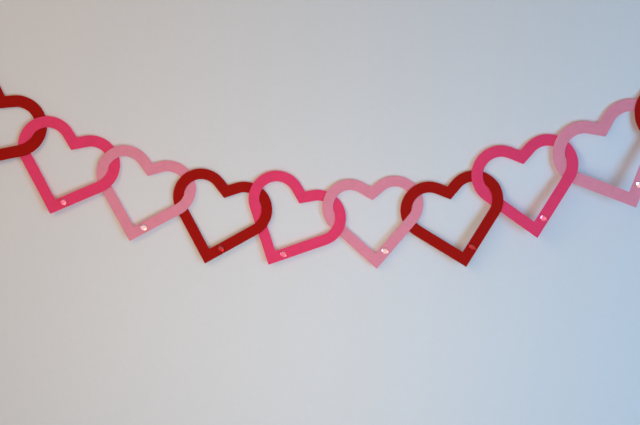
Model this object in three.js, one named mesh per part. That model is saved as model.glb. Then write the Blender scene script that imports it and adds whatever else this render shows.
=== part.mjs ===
// Paper heart garland: heart-shaped rings cut from coloured card and linked like a chain.
// Each ring has one cut through its right leg, where it was opened to pass through its neighbour,
// and a flat-back faceted stone glued over that cut.
// Millimetres. +X runs along the garland to the right, +Z is up, and the front faces -Y.
// The origin is on the back of the left end heart, where the garland is fastened to the wall.

import * as THREE from 'three';
import { ConvexGeometry } from 'three/addons/geometries/ConvexGeometry.js';

const { degToRad, lerp, smoothstep } = THREE.MathUtils;

// Heart pattern: two round lobes, straight legs down to the tip, straight flanks down to the notch
const lobeRadius = 21;
const lobeSpacing = 33.7;
const bandWidth = 8;
const notchAngle = 109.5;

// Card, and how linked rings pass each other: how far their inner edges overlap at a link, the gap
// between their faces there, and the length over which the card bends from front to back
const cardThickness = 0.3;
const linkOverlap = 0.4;
const linkClearance = 0.2;
const bendLength = 3;

// Width of the cut through the right leg
const cutWidth = 0.1;

// Stone over the cut
const stoneDiameter = 5;
const stoneHeight = 2;
const girdleHeight = 0.5;
const tableDiameter = 2.2;
const crownDiameter = 3.4;
const crownHeight = 1.8;
const shoulderDiameter = 4.4;
const shoulderHeight = 1.3;
const stoneFacets = 8;
const glueGap = 0.2;

// Where the left end heart is fastened: the direction from the centre of its outer lobe
const hangAngle = 140;

// Smoothness of the outline
const lobeSteps = 44;
const legSteps = 8;
const flankSteps = 4;
const tipSteps = 3;

// Card colours, and the stone that goes on each: clear on the pinks, red on the reds
const finishes = {
  red: { card: '#930f09', stone: '#8c1a1c' },
  hot_pink: { card: '#d43a62', stone: '#f1e3e3' },
  light_pink: { card: '#cf7e90', stone: '#f1e3e3' },
};

// The hearts from left to right, each drawn and cut by hand and so a little different. size multiplies
// the pattern, legs are the slopes of the left and right leg from the heart's own axis, and cut is the
// distance from the tip to the cut along the outer edge. tilt turns the heart about the viewing direction,
// and link is the direction in which its right lobe pulls on the next heart, both up from +X.
const hearts = [
  { colour: 'red', size: 1.09, legs: [42, 48.5], cut: 14, tilt: -30, link: -32 },
  { colour: 'hot_pink', size: 1.04, legs: [52, 43], cut: 12.8, tilt: -24, link: -14.5 },
  { colour: 'light_pink', size: 1, legs: [48.5, 42.5], cut: 14.2, tilt: -19.5, link: -13 },
  { colour: 'red', size: 0.99, legs: [45, 44], cut: 15.8, tilt: -17, link: 18.5 },
  { colour: 'hot_pink', size: 0.995, legs: [43, 46], cut: 13.2, tilt: -25, link: 18 },
  { colour: 'light_pink', size: 0.99, legs: [43.5, 45], cut: 14.2, tilt: 4.5, link: -11 },
  { colour: 'red', size: 1.02, legs: [44.5, 46], cut: 14.9, tilt: 14, link: 41.5 },
  { colour: 'hot_pink', size: 1.06, legs: [41, 45.5], cut: 14.9, tilt: 13.5, link: 16.5 },
  { colour: 'light_pink', size: 1.14, legs: [43.5, 47], cut: 16.4, tilt: 25.5, link: 27.5 },
  { colour: 'red', size: 1.13, legs: [45, 45], cut: 15, tilt: 27 },
];

// A heart's outline in its own plane, x right and y up, from the midpoint between its lobe centres.
// Every edge keeps the same centres: the inner outline is the outer one drawn in by the band.
function heartPattern({ size, legs, cut }) {
  const spread = size * lobeSpacing / 2;
  const band = size * bandWidth;
  const outerRadius = size * lobeRadius;
  const innerRadius = outerRadius - band;
  const [leftSlope, rightSlope] = legs.map((degrees) => degToRad(degrees));
  const notchHalf = degToRad(notchAngle / 2);
  const across = (pointAt) => ({ outer: pointAt(outerRadius), inner: pointAt(innerRadius) });

  // Round a lobe from the top of its leg, at t = 0, to the top of its flank, at t = 1
  const lobeOn = (side, slope) => (t) => across((radius) => {
    const angle = lerp(-slope, Math.PI - notchHalf, t);
    return new THREE.Vector2(side * (spread + radius * Math.cos(angle)), radius * Math.sin(angle));
  });

  // The edges of the legs and flanks touch the lobes, and cross at the tip and the notch
  const tip = across((radius) => {
    const left = spread * Math.cos(leftSlope) + radius;
    const right = spread * Math.cos(rightSlope) + radius;
    const spanned = Math.sin(leftSlope + rightSlope);
    return new THREE.Vector2(
      (right * Math.sin(leftSlope) - left * Math.sin(rightSlope)) / spanned,
      -(right * Math.cos(leftSlope) + left * Math.cos(rightSlope)) / spanned,
    );
  });
  const notch = across((radius) => new THREE.Vector2(
    0,
    (radius - spread * Math.cos(notchHalf)) / Math.sin(notchHalf),
  ));

  const upRightLeg = new THREE.Vector2(Math.sin(rightSlope), Math.cos(rightSlope));
  const inwards = new THREE.Vector2(-Math.cos(rightSlope), Math.sin(rightSlope));
  const onRightLeg = (distance, inset) => tip.outer.clone()
    .addScaledVector(upRightLeg, distance)
    .addScaledVector(inwards, inset);
  const squareAcross = (distance) => ({
    outer: onRightLeg(distance, 0),
    inner: onRightLeg(distance, band),
  });

  return {
    spread, innerRadius, tip, notch,
    bandRadius: (outerRadius + innerRadius) / 2,
    leftLobe: lobeOn(-1, leftSlope),
    rightLobe: lobeOn(1, rightSlope),
    cutBelow: squareAcross(cut - cutWidth / 2),
    cutAbove: squareAcross(cut + cutWidth / 2),
    stoneSeat: onRightLeg(cut, band / 2),
  };
}

// Pairs of points, outer edge and inner edge, once round the heart from one side of the cut to the other
function stationsAlong(pattern) {
  const { cutAbove, cutBelow, tip, notch, leftLobe, rightLobe } = pattern;
  const straight = (from, to, steps) => Array.from({ length: steps }, (_, i) => ({
    outer: from.outer.clone().lerp(to.outer, i / steps),
    inner: from.inner.clone().lerp(to.inner, i / steps),
  }));
  const round = (lobeAt) => Array.from({ length: lobeSteps }, (_, i) => lobeAt(i / lobeSteps));
  return [
    ...straight(cutAbove, rightLobe(0), legSteps),
    ...round(rightLobe),
    ...straight(rightLobe(1), notch, flankSteps),
    ...straight(notch, leftLobe(1), flankSteps),
    ...round((t) => leftLobe(1 - t)),
    ...straight(leftLobe(0), tip, legSteps),
    ...straight(tip, cutBelow, tipSteps),
    cutBelow,
  ];
}

// How far two linked lobes bend out of their plane, one forwards and one backwards, so that the bands
// clear each other where their inner edges cross, above and below the link
function linkBend(pattern, nextPattern) {
  const a = pattern.innerRadius;
  const b = nextPattern.innerRadius;
  const meanRadius = 2 * a * b / (a + b);
  const crossing = Math.sqrt(meanRadius * linkOverlap);
  return (cardThickness + linkClearance) / (2 * Math.tanh(crossing / bendLength));
}

// Depth of a heart's back face. The left lobe bends forwards above its link and backwards below it,
// the right lobe the other way, and the card eases from one to the other between the lobe centres.
function depthOf(pattern, left, right) {
  const { spread } = pattern;
  const risesOver = (link, x, y) => Math.cos(link.turn) * y - Math.sin(link.turn) * x;
  const bent = (link, x, y) => link.bend * Math.tanh(risesOver(link, x, y) / bendLength);
  return (x, y) => lerp(
    -bent(left, x + spread, y),
    bent(right, x - spread, y),
    smoothstep(x, -spread, spread),
  );
}

// One ring of card: a straight strip bent along the heart's outline, so its two ends are the cut faces
function ringGeometry(pattern, depth) {
  const stations = stationsAlong(pattern);
  const last = stations.length - 1;
  const geometry = new THREE.BoxGeometry(1, 1, 1, last, 1, 1);
  const position = geometry.getAttribute('position');
  for (let i = 0; i < position.count; i += 1) {
    const { outer, inner } = stations[Math.round((position.getX(i) + 0.5) * last)];
    const point = outer.clone().lerp(inner, position.getY(i) + 0.5);
    const behind = depth(point.x, point.y) - (position.getZ(i) + 0.5) * cardThickness;
    position.setXYZ(i, point.x, behind, point.y);
  }
  geometry.computeVertexNormals();
  return geometry;
}

// The stone: flat back, short girdle, a ring of shoulder points, a ring of crown points and a flat table
function stoneGeometry() {
  const ring = (diameter, height, count, offset) => Array.from({ length: count }, (_, i) => {
    const angle = 2 * Math.PI * (i + offset) / count;
    return new THREE.Vector3(diameter / 2 * Math.cos(angle), diameter / 2 * Math.sin(angle), height);
  });
  return new ConvexGeometry([
    ...ring(stoneDiameter, 0, 2 * stoneFacets, 0),
    ...ring(stoneDiameter, girdleHeight, 2 * stoneFacets, 0),
    ...ring(shoulderDiameter, shoulderHeight, stoneFacets, 0),
    ...ring(crownDiameter, crownHeight, stoneFacets, 0.5),
    ...ring(tableDiameter, stoneHeight, stoneFacets, 0),
  ]);
}

// Sets a stone square on the front of the card, over the cut
function seatStone(stone, pattern, depth) {
  const { x, y } = pattern.stoneSeat;
  const reach = stoneDiameter / 2;
  const slopeX = (depth(x + reach, y) - depth(x - reach, y)) / stoneDiameter;
  const slopeY = (depth(x, y + reach) - depth(x, y - reach)) / stoneDiameter;
  const outward = new THREE.Vector3(slopeX, -1, slopeY).normalize();
  stone.position.set(x, depth(x, y) - cardThickness, y).addScaledVector(outward, glueGap);
  stone.quaternion.setFromUnitVectors(new THREE.Vector3(0, 0, 1), outward);
}

const cardOf = ({ card }) => new THREE.MeshStandardMaterial({ color: card, roughness: 0.85, metalness: 0 });
const stoneOf = ({ stone }) => new THREE.MeshStandardMaterial({
  color: stone, roughness: 0.08, metalness: 0, flatShading: true,
});

// Steps from heart to heart: out to the right lobe, along the link's pull, and in from the left lobe
const patterns = hearts.map(heartPattern);
const along = (degrees, length) => new THREE.Vector3(
  length * Math.cos(degToRad(degrees)),
  0,
  length * Math.sin(degToRad(degrees)),
);
const places = [new THREE.Vector3()];
for (let i = 1; i < hearts.length; i += 1) {
  const before = hearts[i - 1];
  const pull = patterns[i - 1].innerRadius + patterns[i].innerRadius - linkOverlap;
  places.push(
    places[i - 1].clone()
      .add(along(before.tilt, patterns[i - 1].spread))
      .add(along(before.link, pull))
      .add(along(hearts[i].tilt, patterns[i].spread)),
  );
}

const garland = new THREE.Group();
hearts.forEach((heart, i) => {
  const pattern = patterns[i];
  const linkTo = (link, neighbour) => ({
    turn: degToRad(link - heart.tilt),
    bend: linkBend(pattern, neighbour),
  });
  const free = { turn: 0, bend: 0 };
  const left = i > 0 ? linkTo(hearts[i - 1].link, patterns[i - 1]) : free;
  const right = i < hearts.length - 1 ? linkTo(heart.link, patterns[i + 1]) : free;
  const depth = depthOf(pattern, left, right);
  const finish = finishes[heart.colour];
  const number = String(i + 1).padStart(2, '0');

  const ring = new THREE.Mesh(ringGeometry(pattern, depth), cardOf(finish));
  ring.name = `heart_${number}_${heart.colour}`;

  const stone = new THREE.Mesh(stoneGeometry(), stoneOf(finish));
  stone.name = `stone_${number}`;
  seatStone(stone, pattern, depth);

  const link = new THREE.Group();
  link.add(ring, stone);
  link.position.copy(places[i]);
  link.rotation.y = -degToRad(heart.tilt);
  garland.add(link);
});

// The origin goes to the fastening place on the left end heart
const firstHeart = hearts[0];
const hangPoint = along(firstHeart.tilt + 180, patterns[0].spread)
  .add(along(hangAngle, patterns[0].bandRadius));
garland.position.copy(hangPoint).negate();

export default garland;
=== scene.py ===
# Paper heart garland: linked rings of coloured card with a faceted stick-on stone on each,
# hanging in front of a pale painted wall
import math

import bmesh
import bpy
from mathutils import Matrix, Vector, noise


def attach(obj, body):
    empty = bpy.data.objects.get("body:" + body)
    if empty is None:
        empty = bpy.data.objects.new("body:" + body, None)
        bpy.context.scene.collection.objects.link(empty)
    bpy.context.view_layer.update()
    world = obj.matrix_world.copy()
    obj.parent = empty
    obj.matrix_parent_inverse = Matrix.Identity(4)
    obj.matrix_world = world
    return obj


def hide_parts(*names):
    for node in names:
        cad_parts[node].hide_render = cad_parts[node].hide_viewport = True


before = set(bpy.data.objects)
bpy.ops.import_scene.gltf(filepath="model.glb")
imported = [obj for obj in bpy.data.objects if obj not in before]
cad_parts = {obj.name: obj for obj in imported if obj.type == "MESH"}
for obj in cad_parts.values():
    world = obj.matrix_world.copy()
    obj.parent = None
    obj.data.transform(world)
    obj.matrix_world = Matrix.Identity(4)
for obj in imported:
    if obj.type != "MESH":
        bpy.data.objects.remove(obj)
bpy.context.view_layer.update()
scene = bpy.context.scene
mm = 0.001
print("frame loaded,", len(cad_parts), "solids")


def hexToLinear(code):
    parts = [int(code[i:i + 2], 16) / 255 for i in (1, 3, 5)]
    return [c / 12.92 if c <= 0.04045 else ((c + 0.055) / 1.055) ** 2.4 for c in parts] + [1.0]


def shade(colour, share):
    return [min(1.0, c * (1 + share)) for c in colour[:3]] + [1.0]  # lighter above 0, darker below


def perMetre(size):
    return 1 / (size * mm)  # texture scale whose features are this many millimetres wide


# sockets go by their identifiers, which tell a mix node's colour inputs from its number inputs
def addNode(tree, kind, values=None, links=None, **settings):
    node = tree.nodes.new(kind)
    for name, value in settings.items():
        setattr(node, name, value)
    sockets = {socket.identifier: socket for socket in node.inputs}
    for name, value in (values or {}).items():
        sockets[name].default_value = value
    for name, source in (links or {}).items():
        tree.links.new(source, sockets[name])
    return node


# 1 for what the camera sees straight on, or in or through a stone, and 0 for light going round the scene
def shownToCamera(tree):
    ray = addNode(tree, "ShaderNodeLightPath").outputs
    direct = addNode(tree, "ShaderNodeMath", None,
                     {"Value": ray["Is Camera Ray"], "Value_001": ray["Is Glossy Ray"]},
                     operation="MAXIMUM")
    anyWay = addNode(tree, "ShaderNodeMath", None,
                     {"Value": direct.outputs["Value"], "Value_001": ray["Is Transmission Ray"]},
                     operation="MAXIMUM")
    return anyWay.outputs["Value"]


def newMaterial(name):
    material = bpy.data.materials.new(name)
    material.use_nodes = True
    material.node_tree.nodes.clear()
    return material, material.node_tree


def meshObject(name, mesh, *materials):
    data = bpy.data.meshes.new(name)
    mesh.to_mesh(data)
    mesh.free()
    for material in materials:
        data.materials.append(material)
    thing = bpy.data.objects.new(name, data)
    scene.collection.objects.link(thing)
    return thing


# camera, straight on to the garland
camera = {
    "frameWidth": 640,      # pixels
    "pixelsPerMm": 1.35,
    "distance": 0.90,       # m
    "aim": (0.2711, 0.0, -0.0943),  # m
    "sensor": 36.0,         # mm
}


def makeCamera():
    c = camera
    lens = bpy.data.cameras.new("camera")
    lens.sensor_fit = "HORIZONTAL"
    lens.sensor_width = c["sensor"]
    widthSeen = c["frameWidth"] / c["pixelsPerMm"] * mm
    lens.lens = c["sensor"] * c["distance"] / widthSeen
    eye = bpy.data.objects.new("camera", lens)
    eye.location = Vector(c["aim"]) - Vector((0, c["distance"], 0))
    eye.rotation_euler = (math.radians(90), 0, 0)
    scene.collection.objects.link(eye)
    scene.camera = eye


makeCamera()
print("camera made")

# card stock, dyed in the pulp and calendered: dead matt and even from a step away, and closer to it
# faintly cloudy, with short fibres lying one way and a fine tooth
cardStock = {
    "cloudSize": 7.0,       # mm, uneven thickness of the pulp
    "cloudDetail": 3.0,     # layers of finer noise, as in every detail below
    "cloudDepth": 0.10,     # share of the colour
    "fibreLength": 3.0,     # mm
    "fibreWidth": 0.7,      # mm, drawn coarse: a real fibre is 0.03 mm wide
    "fibreDetail": 4.0,
    "fibreGrit": 0.65,      # strength of the finer layers
    "fibreDepth": 0.08,     # share of the colour
    "toothSize": 0.8,       # mm, drawn coarse: real tooth is about 0.2 mm
    "toothDetail": 5.0,
    "toothGrit": 0.7,
    "toothHeight": 0.012,   # mm
    "roughness": (0.78, 0.92),
    "ior": 1.45,
    "gloss": 0.1,
    "cutEdge": 0.30,        # how much paler the cut edge is, where the blade opened the fibres
    "colours": {"red": "#930f09", "hot_pink": "#d43a62", "light_pink": "#cf7e90"},
}


def cardStockCalendered(name, colour):
    c = cardStock
    material, tree = newMaterial(name)
    place = addNode(tree, "ShaderNodeTexCoord").outputs["Object"]
    cloud = addNode(tree, "ShaderNodeTexNoise",
                    {"Scale": perMetre(c["cloudSize"]), "Detail": c["cloudDetail"]}, {"Vector": place})
    along, across = perMetre(c["fibreLength"]), perMetre(c["fibreWidth"])
    alongSheet = addNode(tree, "ShaderNodeMapping", {"Scale": (along, across, across)}, {"Vector": place})
    fibre = addNode(tree, "ShaderNodeTexNoise",
                    {"Scale": 1.0, "Detail": c["fibreDetail"], "Roughness": c["fibreGrit"]},
                    {"Vector": alongSheet.outputs["Vector"]})
    tooth = addNode(tree, "ShaderNodeTexNoise",
                    {"Scale": perMetre(c["toothSize"]), "Detail": c["toothDetail"],
                     "Roughness": c["toothGrit"]},
                    {"Vector": place})
    clouded = addNode(tree, "ShaderNodeMix",
                      {"A_Color": shade(colour, -c["cloudDepth"]),
                       "B_Color": shade(colour, c["cloudDepth"])},
                      {"Factor_Float": cloud.outputs["Fac"]}, data_type="RGBA")
    fibreTone = addNode(tree, "ShaderNodeMapRange",
                        {"To Min": 1 - c["fibreDepth"], "To Max": 1 + c["fibreDepth"]},
                        {"Value": fibre.outputs["Fac"]})
    fibred = addNode(tree, "ShaderNodeVectorMath", None,
                     {"Vector": clouded.outputs[2], "Scale": fibreTone.outputs["Result"]},
                     operation="SCALE")
    matt = addNode(tree, "ShaderNodeMapRange",
                   {"To Min": c["roughness"][0], "To Max": c["roughness"][1]},
                   {"Value": fibre.outputs["Fac"]})
    bump = addNode(tree, "ShaderNodeBump", {"Strength": 1.0, "Distance": c["toothHeight"] * mm},
                   {"Height": tooth.outputs["Fac"]})
    surface = addNode(tree, "ShaderNodeBsdfPrincipled",
                      {"IOR": c["ior"], "Specular IOR Level": c["gloss"]},
                      {"Base Color": fibred.outputs["Vector"], "Roughness": matt.outputs["Result"],
                       "Normal": bump.outputs["Normal"]})
    addNode(tree, "ShaderNodeOutputMaterial", None, {"Surface": surface.outputs["BSDF"]})
    return material


# the heart rings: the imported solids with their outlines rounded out, their arrises softened as a blade
# leaves them, and the sheet a little cockled
heartCut = {
    "weld": 0.002,          # mm
    "flat": 30.0,           # degrees between faces, below which they are one bent sheet
    "sharp": 40.0,          # degrees, above which an edge was cut
    "facing": 0.5,          # share of a normal that runs front to back, above which a face is uncut card
    "rounding": 2,          # subdivision levels
    "arris": 0.05,          # mm
    "arrisSteps": 2,
    "cockleDepth": 0.15,    # mm
    "cockleSpan": 30.0,     # mm
}


# how far the sheet stands off its plane here; linked hearts and their stones share it, so they stay clear
def cockleAt(x, z):
    span = heartCut["cockleSpan"] * mm
    return heartCut["cockleDepth"] * mm * noise.noise(Vector((x / span, 0, z / span)))


def cardHeart(node, name, faceMaterial, edgeMaterial):
    h = heartCut
    mesh = bmesh.new()
    mesh.from_mesh(node.data)
    bmesh.ops.remove_doubles(mesh, verts=mesh.verts, dist=h["weld"] * mm)
    bmesh.ops.join_triangles(mesh, faces=mesh.faces, angle_face_threshold=math.radians(h["flat"]),
                             angle_shape_threshold=math.pi)
    crease = mesh.edges.layers.float.new("crease_edge")
    for edge in mesh.edges:
        edge[crease] = 1.0 if edge.calc_face_angle(0) > math.radians(h["sharp"]) else 0.0
    for face in mesh.faces:
        face.smooth = True
        face.material_index = 0 if abs(face.normal.y) > h["facing"] else 1
    heart = meshObject(name, mesh, faceMaterial, edgeMaterial)

    rounding = heart.modifiers.new("rounding", "SUBSURF")
    rounding.levels = rounding.render_levels = h["rounding"]
    rounded = heart.evaluated_get(bpy.context.evaluated_depsgraph_get())
    heart.data = bpy.data.meshes.new_from_object(rounded)
    heart.modifiers.clear()
    for vertex in heart.data.vertices:
        vertex.co.y += cockleAt(vertex.co.x, vertex.co.z)

    arris = heart.modifiers.new("arris", "BEVEL")
    arris.limit_method = "ANGLE"
    arris.angle_limit = math.radians(h["sharp"])
    arris.width = h["arris"] * mm
    arris.segments = h["arrisSteps"]
    even = heart.modifiers.new("even", "WEIGHTED_NORMAL")
    even.keep_sharp = True
    return heart


# acrylic, moulded and polished: colourless or deep red, with sharp facets that break up what lies behind
acrylicMoulded = {
    "clear": "#fdf4f3",
    "red": "#b42c26",       # light goes through it twice, so the stone looks deeper than this
    "ior": 1.49,
    "roughness": (0.02, 0.07),
    "flowSize": 1.5,        # mm, faint flow marks of the moulding
    "flowDetail": 2.0,
}


def acrylicPolished(name, colour):
    a = acrylicMoulded
    material, tree = newMaterial(name)
    place = addNode(tree, "ShaderNodeTexCoord").outputs["Object"]
    flow = addNode(tree, "ShaderNodeTexNoise",
                   {"Scale": perMetre(a["flowSize"]), "Detail": a["flowDetail"]}, {"Vector": place})
    polish = addNode(tree, "ShaderNodeMapRange",
                     {"To Min": a["roughness"][0], "To Max": a["roughness"][1]},
                     {"Value": flow.outputs["Fac"]})
    surface = addNode(tree, "ShaderNodeBsdfPrincipled",
                      {"Base Color": colour, "IOR": a["ior"], "Transmission Weight": 1.0},
                      {"Roughness": polish.outputs["Result"]})
    addNode(tree, "ShaderNodeOutputMaterial", None, {"Surface": surface.outputs["BSDF"]})
    return material


# aluminium foil, lacquered rose and hot-stamped on the flat back of a stone: a bright, slightly hazy
# mirror under the facets, close to the card in colour, which sends each lamp back as a spark
foilStamped = {
    "roughness": (0.06, 0.16),
    "wrinkleSize": 0.6,     # mm
    "wrinkleDetail": 2.0,
    "foldShadePainted": 0.08,        # painted shade: how much darker the foil is painted in the folds of the wrinkles
    "colours": {"red": "#ff8fa6", "hot_pink": "#ff7896", "light_pink": "#ffcfd4"},
}


def foilHotStamped(name, colour):
    f = foilStamped
    material, tree = newMaterial(name)
    place = addNode(tree, "ShaderNodeTexCoord").outputs["Object"]
    wrinkle = addNode(tree, "ShaderNodeTexNoise",
                      {"Scale": perMetre(f["wrinkleSize"]), "Detail": f["wrinkleDetail"]},
                      {"Vector": place})
    haze = addNode(tree, "ShaderNodeMapRange",
                   {"To Min": f["roughness"][0], "To Max": f["roughness"][1]},
                   {"Value": wrinkle.outputs["Fac"]})
    # painted shade: the foil's colour is darker in the folds of the wrinkle noise, standing in for the
    # shade of folds that are not modelled
    tone = addNode(tree, "ShaderNodeMix", {"A_Color": shade(colour, -f["foldShadePainted"]), "B_Color": colour},
                   {"Factor_Float": wrinkle.outputs["Fac"]}, data_type="RGBA")
    surface = addNode(tree, "ShaderNodeBsdfPrincipled", {"Metallic": 1.0},
                      {"Base Color": tone.outputs[2], "Roughness": haze.outputs["Result"]})
    addNode(tree, "ShaderNodeOutputMaterial", None, {"Surface": surface.outputs["BSDF"]})
    return material


# the stones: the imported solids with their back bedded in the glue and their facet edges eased
stoneCut = {
    "weld": 0.002,          # mm
    "flat": 1.0,            # degrees between faces, below which they are one facet
    "bed": 0.18,            # mm of glue, down to the card
    "arris": 0.03,          # mm
}


def facetedStone(node, name, stoneMaterial, backMaterial):
    s = stoneCut
    mesh = bmesh.new()
    mesh.from_mesh(node.data)
    bmesh.ops.remove_doubles(mesh, verts=mesh.verts, dist=s["weld"] * mm)
    bmesh.ops.dissolve_limit(mesh, verts=mesh.verts, edges=mesh.edges,
                             angle_limit=math.radians(s["flat"]))
    back = max(mesh.faces, key=lambda face: face.calc_area())
    middle = back.calc_center_median()
    for vertex in back.verts:
        vertex.co += back.normal * s["bed"] * mm
    bmesh.ops.translate(mesh, verts=mesh.verts, vec=(0, cockleAt(middle.x, middle.z), 0))
    bmesh.ops.bevel(mesh, geom=mesh.edges, offset=s["arris"] * mm, segments=1, affect="EDGES",
                    profile=0.5, material=-1, clamp_overlap=True)
    for face in mesh.faces:
        face.smooth = False
    max(mesh.faces, key=lambda face: face.calc_area()).material_index = 1
    return meshObject(name, mesh, stoneMaterial, backMaterial)


cardFaces, cardEdges, stoneBacks = {}, {}, {}
for colourName, code in cardStock["colours"].items():
    linear = hexToLinear(code)
    cardFaces[colourName] = cardStockCalendered("card stock, calendered, " + colourName, linear)
    cardEdges[colourName] = cardStockCalendered("card stock, cut edge, " + colourName,
                                                shade(linear, cardStock["cutEdge"]))
    stoneBacks[colourName] = foilHotStamped("aluminium foil, hot-stamped, for " + colourName,
                                            hexToLinear(foilStamped["colours"][colourName]))
clearAcrylic = acrylicPolished("acrylic, moulded clear", hexToLinear(acrylicMoulded["clear"]))
redAcrylic = acrylicPolished("acrylic, moulded red", hexToLinear(acrylicMoulded["red"]))
print("materials made")

for heartName in sorted(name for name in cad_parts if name.startswith("heart_")):
    number, colourName = heartName.split("_", 2)[1:]
    stoneName = "stone_" + number
    stoneIsRed = colourName == "red"
    piece = cardHeart(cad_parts[heartName], "card_heart_" + number,
                      cardFaces[colourName], cardEdges[colourName])
    stone = facetedStone(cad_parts[stoneName], "faceted_stone_" + number,
                         redAcrylic if stoneIsRed else clearAcrylic, stoneBacks[colourName])
    for thing, replaced in ((piece, heartName), (stone, stoneName)):
        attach(thing, "root")
        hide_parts(replaced)
print("hearts and stones made")

# wall and floor, matt emulsion rolled on plaster: pale and faintly stippled; it is there from the front
# only and lets all other light through, so that the garland's back can be seen and lit as well
wall = {
    "colour": "#c8c8ca",
    "roughness": 0.9,
    "gloss": 0.2,
    "stippleSize": 3.0,     # mm
    "stippleDetail": 3.0,
    "stippleDepth": 0.02,   # share of the colour
    "stippleHeight": 0.05,  # mm
    "stippleStrength": 0.5,
    "middle": (0.28, 0.0, -0.10),   # m, of the garland
    "lit": (0.30, 0.21, 0.21),      # m from there to where lamplight on the paint starts to even out
    "evens": 1.9,           # times that, where it is even
    "plain": "#c0c1c4",     # how the paint and the surround look from there on
    "gap": 2.2,             # mm behind the lobes
    "tipGap": 2.5,          # mm, how much further off the tips stand
    "leaves": 0.33,         # m along the garland, where they start to stand off more
    "turn": 0.11,           # m for each metre beyond that
    "easing": 0.04,         # m, softness of the turn
    "lobes": (0.27, -0.068, 1.2),   # m along, m up and steepness of the sagging curve along the lobes
    "reach": 0.09,          # m below that curve, where the tips stand off in full
    "gridStep": 0.01,       # m, of the mesh near the garland
    "gridTop": 0.2,         # m up
    "gridRows": 60,
    "gridColumns": (-4, 62),        # the first and the last, in steps from the fastening
    "drop": 0.60,           # m from the fastening down to the floor
    "curve": 0.15,          # m, radius between wall and floor
    "curveSteps": 12,
    "height": 1.4,          # m
    "halfWidth": 2.5,       # m
    "depth": 2.5,           # m
}


def emulsionRolled(name):
    w = wall
    material, tree = newMaterial(name)
    colour = hexToLinear(w["colour"])
    place = addNode(tree, "ShaderNodeTexCoord").outputs["Object"]
    stipple = addNode(tree, "ShaderNodeTexNoise",
                      {"Scale": perMetre(w["stippleSize"]), "Detail": w["stippleDetail"]},
                      {"Vector": place})
    tone = addNode(tree, "ShaderNodeMix",
                   {"A_Color": shade(colour, -w["stippleDepth"]),
                    "B_Color": shade(colour, w["stippleDepth"])},
                   {"Factor_Float": stipple.outputs["Fac"]}, data_type="RGBA")
    bump = addNode(tree, "ShaderNodeBump",
                   {"Strength": w["stippleStrength"], "Distance": w["stippleHeight"] * mm},
                   {"Height": stipple.outputs["Fac"]})
    paint = addNode(tree, "ShaderNodeBsdfPrincipled",
                    {"Roughness": w["roughness"], "Specular IOR Level": w["gloss"]},
                    {"Base Color": tone.outputs[2], "Normal": bump.outputs["Normal"]})
    fromMiddle = addNode(tree, "ShaderNodeMapping", {"Location": w["middle"], "Scale": w["lit"]},
                         {"Vector": place}, vector_type="TEXTURE")
    away = addNode(tree, "ShaderNodeVectorMath", None, {"Vector": fromMiddle.outputs["Vector"]},
                   operation="LENGTH")
    evened = addNode(tree, "ShaderNodeMapRange", {"From Min": 1.0, "From Max": w["evens"]},
                     {"Value": away.outputs["Value"]}, interpolation_type="SMOOTHSTEP")
    plain = addNode(tree, "ShaderNodeEmission", {"Color": hexToLinear(w["plain"])})
    coat = addNode(tree, "ShaderNodeMixShader", None,
                   {"Fac": evened.outputs["Result"], "Shader": paint.outputs["BSDF"],
                    "Shader_001": plain.outputs["Emission"]})
    clear = addNode(tree, "ShaderNodeBsdfTransparent")
    behind = addNode(tree, "ShaderNodeNewGeometry").outputs["Backfacing"]
    inFront = addNode(tree, "ShaderNodeMath", None,
                      {"Value": shownToCamera(tree), "Value_001": behind}, operation="SUBTRACT")
    shown = addNode(tree, "ShaderNodeMixShader", None,
                    {"Fac": inFront.outputs["Value"], "Shader": clear.outputs["BSDF"],
                     "Shader_001": coat.outputs["Shader"]})
    addNode(tree, "ShaderNodeOutputMaterial", None, {"Surface": shown.outputs["Shader"]})
    return material


# how far the wall stands behind the garland here
def gapAt(x, z):
    w = wall
    beyond = x - w["leaves"]
    turned = w["turn"] * (beyond + math.hypot(beyond, w["easing"])) / 2
    along, up, steepness = w["lobes"]
    below = min(1, max(0, (up + steepness * (x - along) ** 2 - z) / w["reach"]))
    eased = below * below * (3 - 2 * below)  # a smooth step from 0 to 1
    return w["gap"] * mm + (w["tipGap"] * mm + turned) * eased


def makeWall():
    w = wall
    profile = [(0.0, w["height"])]
    profile += [(0.0, w["gridTop"] - w["gridStep"] * i) for i in range(w["gridRows"])]
    for i in range(w["curveSteps"] + 1):
        angle = math.pi / 2 * i / w["curveSteps"]
        profile.append((-w["curve"] * (1 - math.cos(angle)),
                        -w["drop"] + w["curve"] * (1 - math.sin(angle))))
    profile.append((-w["depth"], -w["drop"]))
    first, last = w["gridColumns"]
    fine = [w["gridStep"] * i for i in range(first, last + 1)]
    mesh = bmesh.new()
    rows = []
    for x in [-w["halfWidth"]] + fine + [w["halfWidth"]]:
        inside = min(max(x, fine[0]), fine[-1])
        rows.append([mesh.verts.new((x, gapAt(inside, z) + y, z)) for y, z in profile])
    for left, right in zip(rows, rows[1:]):
        for i in range(len(profile) - 1):
            face = mesh.faces.new((left[i], left[i + 1], right[i + 1], right[i]))
            face.smooth = True
    meshObject("wall", mesh, emulsionRolled("emulsion, rolled on plaster"))


makeWall()
print("wall made")

# soft lamps: a pale one near the camera, a warm one high on the left, a cool one low on the right and
# one for the back; places, aims and sizes are in metres, power in watts
lamps = {
    "front": {"place": (0.25, -0.35, -0.20), "aim": (0.25, 0, -0.20), "size": 0.30, "power": 0.71,
              "colour": "#fff1dd", "sparkles": False},
    "warm": {"place": (-0.25, -0.68, 0.20), "aim": (0.10, 0, -0.10), "size": 0.42, "power": 2.4,
             "colour": "#ffc67e", "sparkles": True},
    "cool": {"place": (0.85, -0.62, -0.27), "aim": (0.45, 0, -0.10), "size": 0.42, "power": 4.35,
             "colour": "#77c9ff", "sparkles": True},
    "back": {"place": (0.28, 0.90, 0.15), "aim": (0.28, 0, -0.06), "size": 0.60, "power": 6.5,
             "colour": "#ffffff", "sparkles": True},
}


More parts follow.
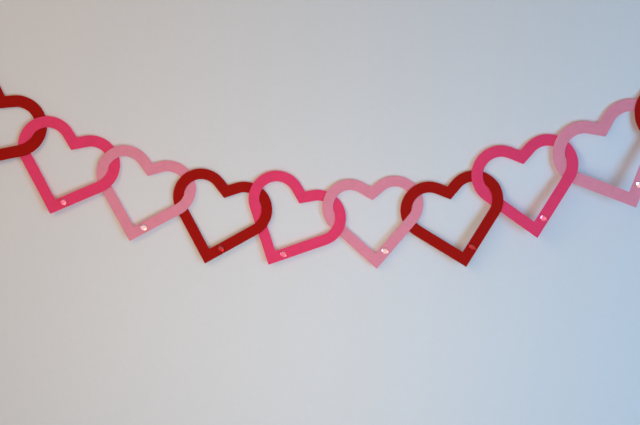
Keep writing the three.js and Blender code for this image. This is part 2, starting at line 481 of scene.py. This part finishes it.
def makeLamps():
    for name, lamp in lamps.items():
        light = bpy.data.lights.new(name, "AREA")
        light.shape = "DISK"
        light.size = lamp["size"]
        light.energy = lamp["power"]
        light.color = hexToLinear(lamp["colour"])[:3]
        stand = bpy.data.objects.new(name, light)
        stand.visible_glossy = stand.visible_transmission = lamp["sparkles"]  # seen in the stones
        stand.location = lamp["place"]
        towards = Vector(lamp["aim"]) - Vector(lamp["place"])
        stand.rotation_euler = towards.to_track_quat("-Z", "Y").to_euler()
        scene.collection.objects.link(stand)


makeLamps()
print("lamps made")

# a little light from all round; to the camera the surround looks as pale as the wall does far out
surround = {
    "colour": "#f6f6f3",
    "strength": 0.35,
    "bright": "#ffffff",    # the end of the room that the garland faces, as its stones mirror it
    "ahead": (0, -1, 0),    # the way to that end
    "spread": (48, 28),     # degrees off it, where that brightness begins and where it is full
}


def makeSurround():
    s = surround
    world = bpy.data.worlds.new("surround")
    world.use_nodes = True
    tree = world.node_tree
    tree.nodes.clear()
    scene.world = world
    light = addNode(tree, "ShaderNodeBackground",
                    {"Color": hexToLinear(s["colour"]), "Strength": s["strength"]})
    way = addNode(tree, "ShaderNodeTexCoord").outputs["Generated"]
    ahead = addNode(tree, "ShaderNodeVectorMath", {"Vector_001": s["ahead"]}, {"Vector": way},
                    operation="DOT_PRODUCT")
    begins, full = [math.cos(math.radians(angle)) for angle in s["spread"]]
    brighter = addNode(tree, "ShaderNodeMapRange", {"From Min": begins, "From Max": full},
                       {"Value": ahead.outputs["Value"]}, interpolation_type="SMOOTHSTEP")
    straight = addNode(tree, "ShaderNodeLightPath").outputs["Is Camera Ray"]
    mirrored = addNode(tree, "ShaderNodeMath", None,
                       {"Value": brighter.outputs["Result"], "Value_001": straight},
                       operation="SUBTRACT", use_clamp=True)
    tone = addNode(tree, "ShaderNodeMix",
                   {"A_Color": hexToLinear(wall["plain"]), "B_Color": hexToLinear(s["bright"])},
                   {"Factor_Float": mirrored.outputs["Value"]}, data_type="RGBA")
    shown = addNode(tree, "ShaderNodeBackground", None, {"Color": tone.outputs[2]})
    sky = addNode(tree, "ShaderNodeMixShader", None,
                  {"Fac": shownToCamera(tree), "Shader": light.outputs["Background"],
                   "Shader_001": shown.outputs["Background"]})
    addNode(tree, "ShaderNodeOutputWorld", None, {"Surface": sky.outputs["Shader"]})


makeSurround()
scene.view_settings.view_transform = "Standard"
print("surround made")
